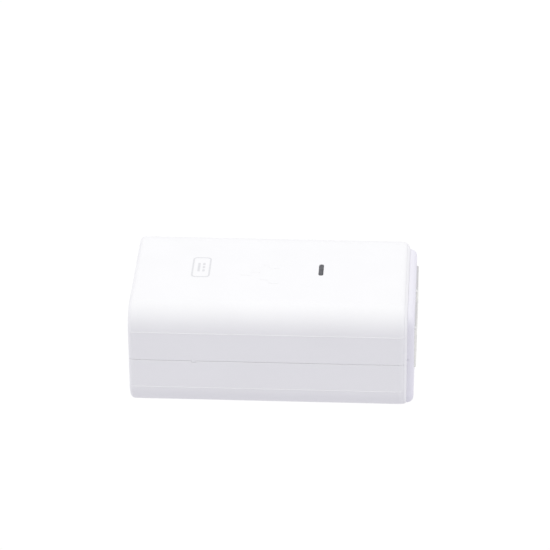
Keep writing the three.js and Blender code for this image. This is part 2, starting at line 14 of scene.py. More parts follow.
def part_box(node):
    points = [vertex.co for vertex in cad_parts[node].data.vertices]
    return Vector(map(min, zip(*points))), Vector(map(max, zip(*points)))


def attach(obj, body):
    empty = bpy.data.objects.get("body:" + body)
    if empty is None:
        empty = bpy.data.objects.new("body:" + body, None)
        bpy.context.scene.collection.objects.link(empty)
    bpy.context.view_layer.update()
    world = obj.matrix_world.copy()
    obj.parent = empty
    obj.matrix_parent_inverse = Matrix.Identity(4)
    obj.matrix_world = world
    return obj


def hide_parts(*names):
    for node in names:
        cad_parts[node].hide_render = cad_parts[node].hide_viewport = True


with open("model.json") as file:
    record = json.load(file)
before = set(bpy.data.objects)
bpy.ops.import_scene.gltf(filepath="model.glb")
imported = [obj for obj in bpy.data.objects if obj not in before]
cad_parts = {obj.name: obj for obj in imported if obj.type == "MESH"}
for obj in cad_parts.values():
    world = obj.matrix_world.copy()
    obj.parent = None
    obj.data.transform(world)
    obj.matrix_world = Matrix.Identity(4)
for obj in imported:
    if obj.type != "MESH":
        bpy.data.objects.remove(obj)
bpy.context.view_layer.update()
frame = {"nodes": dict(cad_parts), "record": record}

# ---- Driving dimensions, in millimetres ----

MM = 0.001


def cad_box_mm(node):
    """(lowest corner, highest corner) of a CAD node in millimetres."""
    low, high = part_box(node)
    return Vector(low) / MM, Vector(high) / MM


TOP_LOW, TOP_HIGH = cad_box_mm("top_shell")
_, BEZEL_HIGH = cad_box_mm("port_bezel")

# case
CASE_LENGTH = 84
LEFT = TOP_LOW.x
RIGHT = LEFT + CASE_LENGTH
MIDDLE = (LEFT + RIGHT) / 2
SIDE = TOP_HIGH.y
HEIGHT = TOP_HIGH.z
SEAM = HEIGHT / 2
WALL = 2
CORNER = 7.8  # radius of the long edges
END_ROUND = 2.4  # radius of the edges at the port end
LEFT_ROUND = 1.6  # and at the mains end
UNDER_ROUND = 0.4  # the edge under the port end is almost sharp
BEAD_RISE = 0.12
BEAD_HALF = 0.12
BEAD_HEIGHTS = {1: 9.55, -1: 9.35}  # above and below the seam

# seam of the case, with its lip and the notch in front
SEAM_GAP = 0.04  # from the parting plane to each shell
SEAM_ROUND = 0.16
LIP = {"outside": 1.2, "inside": WALL, "rise": 1.3}  # depths in the wall, height above the seam
LIP_GROOVE = {"outside": 0.9, "inside": WALL + 0.1, "rise": 1.7}
LIP_ROOT = 1  # how far the lip reaches below the seam
TAB_AT = -22.2  # from the middle of the case
TAB = {"half": 0.6, "drop": 0.45, "outer": 0.03, "inner": 0.8}  # depths in the front wall
NOTCH = {"half": 0.67, "drop": 0.53, "outer": -1, "inner": 0.9}
TAB_ROOT = 0.4  # above the seam
TAB_CORNER = 0.15

# port cap, bezel and reset button
RIM = 0.85  # flush band of the port cap
RIM_GAP = 0.01
SPIGOT = {"gap": 0.1, "depth": 2.2, "overlap": 0.2}

BEZEL_FACE = BEZEL_HIGH.x
BEZEL = {"half": 22.6, "bottom": 0.2, "top": 31.8, "corner": 4.2, "edge": 2.0, "gap": 0.01}
BEZEL_SEAM = {"half": 0.09, "depth": 0.25, "stop": 0.4}  # stop: how far short of the face it ends
PLUG = {"half": 20.3, "bottom": 5, "top": 29.2, "corner": 2.5, "depth": 2.2, "wall": 1.6, "gap": 0.1}
PLUG_OVERLAP = 1  # how far the plug runs into the bezel
WINDOW = {"gap": 0.07, "flare": 0.1, "corner": 0.5}
BUTTON_HOLE = {"radius": 1.38, "flare": 0.25}
KEY = {"radius": 1.2, "edge": 0.22, "foot_edge": 0.2, "dish": 0.12}
KEY_FOOT = 0.85  # shares of the radius: end of the foot, and start of the dish
KEY_DISH = 0.82
KEY_COLLAR = {"radius": 1.9, "edge": 0.1, "thick": 0.9, "gap": 0.3}  # gap: behind the wall of the bezel

# network jacks
SHEET = 0.3
CAN = {"fold": 0.45, "corner": 0.9, "inner_corner": 0.6}
PORT = {
    "half": 5.95,
    "low": 3.4,
    "high": 10.3,
    "latch_half": 3.1,
    "latch_low": 1.5,
    "step_half": 1.9,
    "step_low": 0.95,
    "corner": 0.22,
    "flare": 0.12,
    "depth": 13,
}
TONGUE = {"above": 1.6, "width": 3.2, "thick": 0.22, "gap": 0.12}
TONGUE_LEAN = [(0.12, 0.0), (0.9, 0.35), (3.2, 0.62), (5.4, 0.2)]  # (behind the front, into the port)
CONTACTS = 8
CONTACT_PITCH = 1.02
CONTACT_RADIUS = 0.2
CONTACT_START = (3.6, 11.9)  # (behind the front of the can, above its base)
CONTACT_BEND = (3.9, 11.25)
CONTACT_BACK = (PORT["depth"] + 1.2, 7.6)
SOCKET = {"gap": 0.1, "corner": 0.4, "port_gap": 0.06, "back": 1}
COMB = {"half": 0.16, "low": 10.5, "top": 1.5, "corner": 0.08, "back": 11, "front": 3.2}
COMB_ROOM = {"inset": 1, "low": 4.4, "top": 2, "corner": 0.2, "behind": 3}
CARRIER = {"inset": 1.2, "low": 4.7, "top": 2.3, "corner": 0.3, "behind": 16.7, "gap": 0.6}

# mains socket
INLET_CORNER = 2
INLET_GAP = 0.12
INLET_FLARE = 0.35
INLET_EDGE = 0.3
INLET_LOBE = 4.3
INLET_CAVITY = 11
INLET_CHAMFER = 0.4
INLET_WAIST = {"above": 1.5, "corner": 0.5}  # above the pins of the upper row
PIN_ROLES = ("line", "neutral", "earth")
PIN_RADIUS = 1.2
PIN_HOLE = 1.25
PIN_COLLAR = {"radius": 1.95, "rise": 0.7, "edge": 0.2, "root": 0.5}
PIN_TAIL = {"half": 0.7, "thick": 0.8, "edge": 0.2, "corner": 0.15}

# status light, label and marks; the marks are placed from the middle of the case
LAMP = {"half_width": 0.65, "half_length": 3.45, "sunk": 0.12, "crown": 0.14, "edge": 0.45}
LAMP_FOOT_GAP = 0.1
LAMP_HOLE = {"gap": 0.06, "flare": 0.2, "flare_depth": 0.16}
LAMP_COLLAR = {"below": 2.6, "thick": 1, "rise": 0.8}
LABEL_CORNER = 2
LABEL_RECESS = {"gap": 0.35, "floor_gap": 0.2, "depth": 0.4}
INK = 0.02  # thickness of a printed mark
MARK = {"x": -21.6, "y": 1.5, "width": 5.7, "length": 12.2, "corner": 1.3, "line": 0.5}
SIGN = {"offset": 0.75, "line": 0.75, "length": 5.2, "dash": 1.3, "pitch": 1.95}
RELIEF = {"x": -3.4, "y": -0.6, "rise": 0.05, "root": 0.3, "reach": 4.4, "spread": 4.6, "line": 0.7}
RELIEF_BOX = {"width": 3.6, "length": 4.6, "corner": 0.8}

# shared
BEYOND = 5  # how far cutters run past the faces that they open
SOFT_EDGE = 0.12  # bevel on the pieces that keep the CAD shape
CORNER_STEPS = 18
FILLET_STEPS = 12
EDGE_STEPS = 6


# ---- Mesh helpers ----


def mesh_object(name, build):
    """A new object whose mesh is made by build(bmesh) in millimetres."""
    shape = bmesh.new()
    build(shape)
    bmesh.ops.remove_doubles(shape, verts=shape.verts, dist=1e-5)
    bmesh.ops.recalc_face_normals(shape, faces=shape.faces)
    bmesh.ops.scale(shape, vec=(MM, MM, MM), verts=shape.verts)
    mesh = bpy.data.meshes.new(name)
    shape.to_mesh(mesh)
    shape.free()
    made = bpy.data.objects.new(name, mesh)
    bpy.context.collection.objects.link(made)
    return made


def add_band(shape, near, far):
    """A band of quads between two closed rows of vertices."""
    for i in range(len(near)):
        j = (i + 1) % len(near)
        shape.faces.new((near[i], near[j], far[j], far[i]))


def add_loft(shape, rings):
    """Skins a list of closed rings of equal length and caps both ends."""
    rows = [[shape.verts.new(point) for point in ring] for ring in rings]
    for near, far in zip(rows, rows[1:]):
        add_band(shape, near, far)
    shape.faces.new(rows[0])
    shape.faces.new(rows[-1])


def loft(name, rings):
    return mesh_object(name, lambda shape: add_loft(shape, rings))


def quarter_turn(steps):
    """Angles from zero to a right angle in even steps, both ends included."""
    return [math.pi / 2 * k / steps for k in range(steps + 1)]


def arc(centre, radius, start, end, steps):
    """Points on an arc in a plane, angles in degrees, both ends included."""
    angles = [math.radians(start + (end - start) * i / steps) for i in range(steps + 1)]
    return [(centre[0] + radius * math.cos(a), centre[1] + radius * math.sin(a)) for a in angles]


def rounded_rectangle(left, right, bottom, top, radius, steps=8):
    return (
        arc((right - radius, bottom + radius), radius, -90, 0, steps)
        + arc((right - radius, top - radius), radius, 0, 90, steps)
        + arc((left + radius, top - radius), radius, 90, 180, steps)
        + arc((left + radius, bottom + radius), radius, 180, 270, steps)
    )


def round_corners(corners, radius, steps):
    """A polygon, counter-clockwise, with each right-angled corner replaced by an arc."""
    points = []
    for i, corner in enumerate(corners):
        here = Vector(corner)
        back = (Vector(corners[i - 1]) - here).normalized()
        ahead = (Vector(corners[(i + 1) % len(corners)]) - here).normalized()
        centre = here + radius * (back + ahead)
        for turn in quarter_turn(steps):
            points.append(tuple(centre - radius * (ahead * math.cos(turn) + back * math.sin(turn))))
    return points


def across(x, outline):
    """An outline drawn in Y and Z, placed at x."""
    return [(x, y, z) for y, z in outline]


def flat(z, outline):
    """An outline drawn in X and Y, placed at z."""
    return [(x, y, z) for x, y in outline]


def box_outline(node, grow, corner):
    """A CAD node's box seen along X, grown all round and given round corners."""
    low, high = cad_box_mm(node)
    return rounded_rectangle(low.y - grow, high.y + grow, low.z - grow, high.z + grow, corner)


def turned_x(name, centre, profile, steps=40):
    """A solid of revolution about a line along X through centre (y, z), from (x, radius) points."""
    rings = []
    for x, radius in profile:
        circle = [
            (x, centre[0] + radius * math.cos(a), centre[1] + radius * math.sin(a))
            for a in (2 * math.pi * k / steps for k in range(steps))
        ]
        rings.append(circle)
    return loft(name, rings)


def boolean(target, tool, operation):
    """Joins or cuts target with tool, and removes tool."""
    step = target.modifiers.new(operation.lower(), "BOOLEAN")
    step.operation = operation
    step.object = tool
    step.solver = "MANIFOLD"
    graph = bpy.context.evaluated_depsgraph_get()
    result = bpy.data.meshes.new_from_object(target.evaluated_get(graph))
    target.modifiers.clear()
    old = target.data
    target.data = result
    bpy.data.meshes.remove(old)
    bpy.data.objects.remove(tool, do_unlink=True)


def carve(target, *tools):
    for tool in tools:
        boolean(target, tool, "DIFFERENCE")
    return target


def fuse(target, *tools):
    for tool in tools:
        boolean(target, tool, "UNION")
    return target


def smooth(piece, angle=32):
    """Smooth shading with crisp edges, weighted by face area so that flats stay flat."""
    piece.data.shade_smooth()
    piece.data.set_sharp_from_angle(angle=math.radians(angle))
    weighted = piece.modifiers.new("weighted_normals", "WEIGHTED_NORMAL")
    weighted.keep_sharp = True
    return piece


# ---- Case shells ----


def end_inset(from_end, radius=END_ROUND):
    """How far a rounded edge has pulled in, at a distance from the face it runs into."""
    if from_end >= radius:
        return 0.0
    return radius - math.sqrt(radius**2 - (radius - from_end) ** 2)


def bead_profile(direction):
    """The witness bead of one shell as (height above the seam, how proud), from the seam outwards."""
    centre = BEAD_HEIGHTS[direction]
    return [(centre - BEAD_HALF, 0.0), (centre, BEAD_RISE), (centre + BEAD_HALF, 0.0)]


def half_section(side_inset, rise_inset, lift, direction):
    """Half of the case section, as (y, height above the seam), from one seam edge over to the other."""
    half_width = SIDE - side_inset
    across_axis, rise_axis = CORNER - side_inset, CORNER - rise_inset
    spring = SEAM - CORNER  # where the corner arc starts
    edge = SEAM_GAP + lift
    right = arc((half_width - SEAM_ROUND, edge + SEAM_ROUND), SEAM_ROUND, -90, 0, 3)
    fade = max(0.0, 1 - side_inset / LEFT_ROUND)  # the beads run out on the end fillets
    levels = bead_profile(direction)
    for level, proud in levels:
        climb = max(0.0, level - spring) / rise_axis
        y = half_width - across_axis * (1 - math.sqrt(1 - climb**2))
        right.append((y + fade * proud, level))
    first_angle = math.asin((levels[-1][0] - spring) / rise_axis)
    for k in range(1, CORNER_STEPS + 1):
        turn = first_angle + (math.pi / 2 - first_angle) * k / CORNER_STEPS
        right.append((SIDE - CORNER + across_axis * math.cos(turn), spring + rise_axis * math.sin(turn)))
    left = [(-y, level) for y, level in reversed(right)]
    return right + left


def fillet_distances(radius=END_ROUND):
    """Distances from the end face at even steps round the end fillet."""
    return [radius * (1 - math.cos(turn)) for turn in quarter_turn(FILLET_STEPS)]


def half_block(name, direction):
    """The outer form of one shell: direction 1 is the top, -1 the bottom."""
    stations = []  # x, inset of the sides, inset of the top or bottom, and lift of the seam edge
    for t in fillet_distances(LEFT_ROUND):
        inset = end_inset(t, LEFT_ROUND)
        stations.append((LEFT + t, inset, inset, end_inset(t, SEAM_ROUND)))
    shell_end = RIM + RIM_GAP
    under = END_ROUND if direction > 0 else UNDER_ROUND
    right_distances = sorted({t for t in fillet_distances() if t > shell_end} | {shell_end}, reverse=True)
    stations += [(RIGHT - t, end_inset(t), end_inset(t, under), 0.0) for t in right_distances]
    rings = []
    for x, side_inset, rise_inset, lift in stations:
        section = half_section(side_inset, rise_inset, lift, direction)
        rings.append([(x, y, SEAM + direction * level) for y, level in section])
    return loft(name, rings)


def case_prism(name, inset, x0, x1):
    """A plain prism with the case section drawn in by inset."""
    outline = rounded_rectangle(-SIDE + inset, SIDE - inset, inset, HEIGHT - inset, CORNER - inset, 12)
    return loft(name, [across(x0, outline), across(x1, outline)])


def slab(name, z0, z1):
    """A cutter larger than the case, between two heights."""
    outline = [(-2 * SIDE, z0), (2 * SIDE, z0), (2 * SIDE, z1), (-2 * SIDE, z1)]
    return loft(name, [across(LEFT - BEYOND, outline), across(RIGHT + BEYOND, outline)])


def lip_band(size):
    """A band across the seam that follows the inside of the case walls."""
    outside, inside = size["outside"], size["inside"]
    low, high = SEAM - LIP_ROOT, SEAM + size["rise"]
    band = case_prism("lip", outside, LEFT + outside, RIGHT - RIM - RIM_GAP)
    carve(band, case_prism("lip_hollow", inside, LEFT + inside, RIGHT + BEYOND))
    return carve(band, slab("under", low - HEIGHT, low), slab("over", high, high + HEIGHT))


def case_hollow():
    return case_prism("hollow", WALL, LEFT + WALL, RIGHT + BEYOND)


def inlet_cutter():
    """The hole for the mains socket in the left end, flared at its mouth."""
    mouth_gap = INLET_GAP + INLET_FLARE
    hole = box_outline("inlet_housing", INLET_GAP, INLET_CORNER + INLET_GAP)
    mouth = box_outline("inlet_housing", mouth_gap, INLET_CORNER + mouth_gap)
    stations = [(-BEYOND, mouth), (0, mouth), (INLET_FLARE, hole), (WALL + BEYOND, hole)]
    return loft("inlet_cutter", [across(LEFT + t, outline) for t, outline in stations])


def stadium(grow):
    """The outline of the status light seen from above, grown all round."""
    low, high = cad_box_mm("light_pipe")
    middle = (low + high) / 2
    width, length = LAMP["half_width"] + grow, LAMP["half_length"] + grow
    return rounded_rectangle(
        middle.x - width, middle.x + width, middle.y - length, middle.y + length, width * 0.98, 10
    )


def light_cutter():
    """The window for the status light in the top, flared at its mouth."""
    gap, flare = LAMP_HOLE["gap"], LAMP_HOLE["flare"]
    stations = [(-WALL - BEYOND, gap), (-LAMP_HOLE["flare_depth"], gap), (0, flare), (BEYOND, flare)]
    return loft("light_cutter", [flat(HEIGHT + t, stadium(grow)) for t, grow in stations])


def seam_tab(size):
    """A small block across the front seam, with its faces at depths outer and inner in the wall."""
    left, right = MIDDLE + TAB_AT - size["half"], MIDDLE + TAB_AT + size["half"]
    outline = rounded_rectangle(left, right, SEAM - size["drop"], SEAM + TAB_ROOT, TAB_CORNER)
    depths = (size["outer"], size["inner"])
    return loft("seam_tab", [[(x, depth - SIDE, z) for x, z in outline] for depth in depths])


def label_outline(grow=0.0):
    low, high = cad_box_mm("rating_label")
    corner = LABEL_CORNER + grow
    return rounded_rectangle(low.x - grow, high.x + grow, low.y - grow, high.y + grow, corner)


def label_cutter():
    """The label's recess in the underside, narrower at its bottom."""
    gap = LABEL_RECESS["gap"]
    stations = [(-BEYOND, gap), (0, gap), (LABEL_RECESS["depth"], LABEL_RECESS["floor_gap"])]
    return loft("label_cutter", [flat(z, label_outline(grow)) for z, grow in stations])


def top_case():
    piece = half_block("case_top", 1)
    carve(piece, case_hollow(), lip_band(LIP_GROOVE))
    fuse(piece, *network_relief(), seam_tab(TAB))
    carve(piece, inlet_cutter(), light_cutter())
    return smooth(piece)


def bottom_case():
    piece = half_block("case_bottom", -1)
    carve(piece, case_hollow())
    fuse(piece, lip_band(LIP))
    carve(piece, inlet_cutter(), seam_tab(NOTCH), label_cutter())
    return smooth(piece)


# ---- Port cap and bezel ----


def bezel_outline(grow=0.0):
    left, right = -BEZEL["half"] - grow, BEZEL["half"] + grow
    bottom, top = BEZEL["bottom"] - grow, BEZEL["top"] + grow
    return rounded_rectangle(left, right, bottom, top, BEZEL["corner"] + grow, 12)


def plug_outline(grow=0.0):
    left, right = -PLUG["half"] - grow, PLUG["half"] + grow
    bottom, top = PLUG["bottom"] - grow, PLUG["top"] + grow
    return rounded_rectangle(left, right, bottom, top, PLUG["corner"] + grow)


def rim_outline(from_end):
    """The case section at the rim, as one closed outline with a sharper edge underneath."""
    over, under = end_inset(from_end), end_inset(from_end, UNDER_ROUND)
    across_axis = CORNER - over
    corners = [(-90, 1, -1, under), (0, 1, 1, over), (90, -1, 1, over), (180, -1, -1, under)]
    points = []
    for start, right, up, rise_inset in corners:
        for turn in quarter_turn(CORNER_STEPS):
            angle = math.radians(start) + turn
            y = right * (SIDE - CORNER) + across_axis * math.cos(angle)
            z = SEAM + up * (SEAM - CORNER) + (CORNER - rise_inset) * math.sin(angle)
            points.append((y, z))
    return points


def spigot():
    """The ring of the port cap that fits inside the shells, closed by a thin web at the rim."""
    end = RIGHT - RIM + SPIGOT["overlap"]
    start = RIGHT - RIM - SPIGOT["depth"]
    ring = case_prism("spigot", WALL + SPIGOT["gap"], start, end)
    return carve(ring, case_prism("spigot_hollow", 2 * WALL, start - BEYOND, end - 2 * SPIGOT["overlap"]))


def port_cap():
    """The frame that closes the shells: the rest of the end fillet, and a spigot inside the walls."""
    back = RIM - RIM_GAP
    distances = sorted({t for t in fillet_distances() if t < back} | {back}, reverse=True)
    piece = loft("port_cap", [across(RIGHT - t, rim_outline(t)) for t in distances])
    fuse(piece, spigot())
    outline = plug_outline(PLUG["gap"])
    opening = loft("opening", [across(RIGHT - BEYOND, outline), across(RIGHT + BEYOND, outline)])
    return smooth(carve(piece, opening))


def jack_window(name):
    """The cutter for one jack's hole in the bezel, flared at its mouth."""
    gap, flare, corner = WINDOW["gap"], WINDOW["flare"], WINDOW["corner"]
    inner = box_outline(name + "_jack_shield", gap, corner)
    outer = box_outline(name + "_jack_shield", gap + flare, corner + flare)
    stations = [(-2 * BEYOND, inner), (-flare, inner), (0, outer), (BEYOND, outer)]
    return loft("jack_window", [across(BEZEL_FACE + t, outline) for t, outline in stations])


def button_centre():
    low, high = cad_box_mm("reset_button")
    return ((low.y + high.y) / 2, (low.z + high.z) / 2)


def button_hole():
    radius, flare = BUTTON_HOLE["radius"], BUTTON_HOLE["flare"]
    stations = [(-2 * BEYOND, radius), (-flare, radius), (0, radius + flare), (BEYOND, radius + flare)]
    return turned_x("button_hole", button_centre(), [(BEZEL_FACE + t, r) for t, r in stations])


def bezel_seam(side):
    """The cutter for the mould line on one side of the bezel."""
    half = BEZEL_SEAM["half"]
    y0, y1 = sorted((side * (BEZEL["half"] - BEZEL_SEAM["depth"]), side * (BEZEL["half"] + BEYOND)))
    outline = [(y0, SEAM - half), (y1, SEAM - half), (y1, SEAM + half), (y0, SEAM + half)]
    return loft("bezel_seam", [across(RIGHT, outline), across(BEZEL_FACE - BEZEL_SEAM["stop"], outline)])


def port_bezel():
    """The raised face round the jacks, rounded off over its whole height, on a hollow plug."""
    edge, wall = BEZEL["edge"], PLUG["wall"]
    rings = [across(RIGHT + BEZEL["gap"], bezel_outline())]
    for turn in quarter_turn(FILLET_STEPS):
        x = BEZEL_FACE - edge * (1 - math.sin(turn))
        rings.append(across(x, bezel_outline(-edge * (1 - math.cos(turn)))))
    piece = loft("port_bezel_face", rings)
    start = RIGHT - PLUG["depth"]
    full, hollow = plug_outline(), plug_outline(-wall)
    fuse(piece, loft("plug", [across(start, full), across(RIGHT + PLUG_OVERLAP, full)]))
    carve(piece, loft("hollow", [across(start - BEYOND, hollow), across(BEZEL_FACE - wall, hollow)]))
    carve(piece, jack_window("poe"), jack_window("lan"), button_hole(), bezel_seam(1), bezel_seam(-1))
    return smooth(piece)


# ---- Network jacks ----


def jack_frame(name):
    """(lowest corner, highest corner, middle in Y) of one jack's can."""
    low, high = cad_box_mm(name + "_jack_shield")
    return low, high, (low.y + high.y) / 2


def port_outline(centre, base, grow):
    """The stepped opening of a jack, drawn in Y and Z, with the latch slot below."""
    steps = [
        (PORT["step_half"], PORT["step_low"]),
        (PORT["latch_half"], PORT["latch_low"]),
        (PORT["half"], PORT["low"]),
    ]
    rises = [PORT["latch_low"], PORT["low"], PORT["high"] + 2 * grow]
    right = []
    for (half, low), rise in zip(steps, rises):
        right += [(half + grow, low - grow), (half + grow, rise - grow)]
    left = [(-y, z) for y, z in reversed(right)]
    return [(centre + y, base + z) for y, z in round_corners(right + left, PORT["corner"], 3)]


def port_cutter(name, grow):
    """The room for a plug, flared at its mouth."""
    low, high, centre = jack_frame(name)
    flare = PORT["flare"]
    inner = port_outline(centre, low.z, grow)
    outer = port_outline(centre, low.z, grow + flare)
    stations = [(-PORT["depth"], inner), (-flare, inner), (0, outer), (BEYOND, outer)]
    return loft("port_cutter", [across(high.x + t, outline) for t, outline in stations])


def grounding_tongue(name, side):
    """A sprung sheet tongue that leans into one side of the port and touches the plug."""
    low, high, centre = jack_frame(name)
    wall = centre + side * (PORT["half"] + TONGUE["gap"])
    bottom = low.z + PORT["low"] + TONGUE["above"]
    rings = []
    for behind, lean in TONGUE_LEAN:
        y = wall - side * lean
        left, right = sorted((y, y + side * TONGUE["thick"]))
        corner = 0.4 * TONGUE["thick"]
        outline = rounded_rectangle(left, right, bottom, bottom + TONGUE["width"], corner, 2)
        rings.append(across(high.x - behind, outline))
    return loft("tongue", rings)


def shield_can(name):
    """The folded sheet can of one jack, with a soft front edge and grounding tongues in the port."""
    node = name + "_jack_shield"
    low, high, _ = jack_frame(name)
    fold, corner = CAN["fold"], CAN["corner"]
    rings = [across(low.x, box_outline(node, 0, corner))]
    for turn in quarter_turn(EDGE_STEPS):
        x = high.x - fold * (1 - math.sin(turn))
        inset = fold * (1 - math.cos(turn))
        rings.append(across(x, box_outline(node, -inset, corner - inset)))
    piece = loft(name + "_shield_can", rings)
    left, right = low.y + SHEET, high.y - SHEET
    inside = rounded_rectangle(left, right, low.z - BEYOND, high.z - SHEET, CAN["inner_corner"])
    carve(piece, loft("can_hollow", [across(low.x - BEYOND, inside), across(high.x - SHEET, inside)]))
    carve(piece, port_cutter(name, 0))
    fuse(piece, grounding_tongue(name, -1), grounding_tongue(name, 1))
    return smooth(piece)


def comb_rib(name, k):
    """One wall of the comb that keeps the contacts apart."""
    low, high, centre = jack_frame(name)
    y = centre + (k - CONTACTS / 2) * CONTACT_PITCH
    half, corner = COMB["half"], COMB["corner"]
    outline = rounded_rectangle(y - half, y + half, low.z + COMB["low"], high.z - COMB["top"], corner, 2)
    return loft("rib", [across(high.x - COMB["back"], outline), across(high.x - COMB["front"], outline)])


def inner_block(name, size):
    """The outline of a block inside a jack: in from the port's sides, above its base, under its top."""
    low, high, centre = jack_frame(name)
    half = PORT["half"] - size["inset"]
    return rounded_rectangle(
        centre - half, centre + half, low.z + size["low"], high.z - size["top"], size["corner"]
    )


def jack_socket(name):
    """The black moulding inside the can: port, latch slot and comb for the contacts."""
    low, high, _ = jack_frame(name)
    clear = SHEET + SOCKET["gap"]
    outline = rounded_rectangle(low.y + clear, high.y - clear, low.z, high.z - clear, SOCKET["corner"])
    front = high.x - clear
    piece = loft(name + "_socket", [across(low.x + SOCKET["back"], outline), across(front, outline)])
    carve(piece, port_cutter(name, SOCKET["port_gap"]))
    room = inner_block(name, COMB_ROOM)
    carve(piece, loft("comb_room", [across(low.x, room), across(front - COMB_ROOM["behind"], room)]))
    fuse(piece, *[comb_rib(name, k) for k in range(CONTACTS + 1)])
    return smooth(piece)


def contact_path(front, base, y):
    """A spring wire: down from the comb at the front, back and down to the carrier, with a round bend."""
    knots = (CONTACT_START, CONTACT_BEND, CONTACT_BACK)
    start, bend, back = [Vector((front - behind, y, base + above)) for behind, above in knots]
    reach = 0.12  # share of the straight run that the round bend takes up
    points = [start]
    for k in range(1, 7):
        turn = k / 6
        points.append(start.lerp(bend, turn).lerp(bend.lerp(back, reach * turn), turn))
    for k in range(1, 9):
        points.append(bend.lerp(back, reach + (1 - reach) * k / 8))
    return points


def wire_rings(points, radius):
    """Rings of a round wire along points in one X-Z plane."""
    sides = 10
    rings = []
    for i, point in enumerate(points):
        before = points[max(i - 1, 0)]
        after = points[min(i + 1, len(points) - 1)]
        ahead = (after - before).normalized()
        up = ahead.cross(Vector((0, 1, 0))).normalized()
        ring = []
        for k in range(sides):
            turn = 2 * math.pi * k / sides
            outwards = math.cos(turn) * Vector((0, 1, 0)) + math.sin(turn) * up
            ring.append(tuple(point + radius * outwards))
        rings.append(ring)
    return rings


def contact_row(name):
    """The row of gilt spring wires and the black carrier that holds them."""
    low, high, centre = jack_frame(name)

    def build(shape):
        for k in range(CONTACTS):
            y = centre + (k - (CONTACTS - 1) / 2) * CONTACT_PITCH
            add_loft(shape, wire_rings(contact_path(high.x, low.z, y), CONTACT_RADIUS))

    wires = mesh_object(name + "_contact_row", build)
    outline = inner_block(name, CARRIER)
    front = high.x - PORT["depth"] - CARRIER["gap"]
    carrier = loft("carrier", [across(high.x - CARRIER["behind"], outline), across(front, outline)])
    wires.data.materials.append(MATERIAL["contact_gold"])
    wires.data.materials.append(MATERIAL["black_plastic"])
    join_into(wires, carrier)
    return smooth(wires, 50)


def join_into(target, other):
    """Adds other's mesh to target; its faces take target's second material."""
    first_face = len(target.data.polygons)
    shape = bmesh.new()
    shape.from_mesh(target.data)
    shape.from_mesh(other.data)
    shape.faces.ensure_lookup_table()
    for face in shape.faces[first_face:]:
        face.material_index = 1
    shape.to_mesh(target.data)
    shape.free()
    bpy.data.objects.remove(other, do_unlink=True)


# ---- Reset button ----


def key_collar():
    """The profile of the collar that keeps the key behind the bezel, as (x, radius) points."""
    high = BEZEL_FACE - PLUG["wall"] - KEY_COLLAR["gap"]
    low = high - KEY_COLLAR["thick"]
    radius, edge = KEY_COLLAR["radius"], KEY_COLLAR["edge"]
    foot = [(low, KEY["radius"]), (low, radius - edge), (low + edge, radius)]
    return foot + [(high - edge, radius), (high, radius - edge), (high, KEY["radius"])]


def reset_key():
    """The round key behind its hole, with a soft edge and a dished face."""
    low, high = cad_box_mm("reset_button")
    radius, edge = KEY["radius"], KEY["edge"]
    profile = [(low.x, KEY_FOOT * radius), (low.x + KEY["foot_edge"], radius)] + key_collar()
    for turn in quarter_turn(EDGE_STEPS):
        profile.append((high.x - edge * (1 - math.sin(turn)), radius - edge * (1 - math.cos(turn))))
    for share in (0.7, 0.45, 0.2, 0.02):
        sunk = KEY["dish"] * (1 - (share / KEY_DISH) ** 2)
        profile.append((high.x - sunk, radius * share))
    return smooth(turned_x("reset_key", button_centre(), profile), 40)


# ---- Mains socket ----


def inlet_pins():
    """Centre (y, z) of each pin, from the CAD pins' own boxes."""
    places = {}
    for role in PIN_ROLES:
        low, high = cad_box_mm("inlet_pin_" + role)
        places[role] = ((low.y + high.y) / 2, high.z - (high.y - low.y) / 2)
    return places


def lobe_cutter(centre, face):
    """One round lobe of the cloverleaf, chamfered at its mouth."""
    mouth = INLET_LOBE + INLET_CHAMFER
    stations = [(INLET_CAVITY, INLET_LOBE), (INLET_CHAMFER, INLET_LOBE), (0, mouth), (-BEYOND, mouth)]
    return turned_x("lobe", centre, [(face + t, radius) for t, radius in stations], 56)


def waist_cutter(face):
    """The middle of the clover, between the lobes."""
    pins = inlet_pins()
    spread = pins["neutral"][0]
    low, high = pins["earth"][1], pins["line"][1] + INLET_WAIST["above"]

    def outline(grow):
        corner = INLET_WAIST["corner"] + grow
        return rounded_rectangle(-spread - grow, spread + grow, low - grow, high + grow, corner)

    stations = [(-BEYOND, INLET_CHAMFER), (0, INLET_CHAMFER), (INLET_CHAMFER, 0), (INLET_CAVITY, 0)]
    return loft("waist", [across(face + t, outline(grow)) for t, grow in stations])


def pin_hole(centre, x0, x1):
    return turned_x("pin_hole", centre, [(x0, PIN_HOLE), (x1, PIN_HOLE)], 32)


def pin_collar(centre, floor):
    """A low raised ring at the foot of a pin, on the floor of the cavity."""
    radius, edge = PIN_COLLAR["radius"], PIN_COLLAR["edge"]
    top = floor - PIN_COLLAR["rise"]
    profile = [(floor + PIN_COLLAR["root"], radius), (top + edge, radius), (top, radius - edge)]
    ring = turned_x("collar", centre, profile, 32)
    return carve(ring, pin_hole(centre, floor - BEYOND, floor + BEYOND))


def mains_socket():
    """The black cloverleaf inlet, with a soft front edge and a collar round each pin."""
    low, high = cad_box_mm("inlet_housing")
    face = low.x
    rings = []
    for turn in quarter_turn(4):
        inset = INLET_EDGE * (1 - math.sin(turn))
        outline = box_outline("inlet_housing", -inset, INLET_CORNER - inset)
        rings.append(across(face + INLET_EDGE * (1 - math.cos(turn)), outline))
    rings.append(across(high.x, box_outline("inlet_housing", 0, INLET_CORNER)))
    piece = loft("mains_socket", rings)
    centres = inlet_pins().values()
    carve(piece, *[lobe_cutter(centre, face) for centre in centres], waist_cutter(face))
    floor = face + INLET_CAVITY
    for centre in centres:
        carve(piece, pin_hole(centre, floor - BEYOND, high.x + BEYOND))
        fuse(piece, pin_collar(centre, floor))
    return smooth(piece)


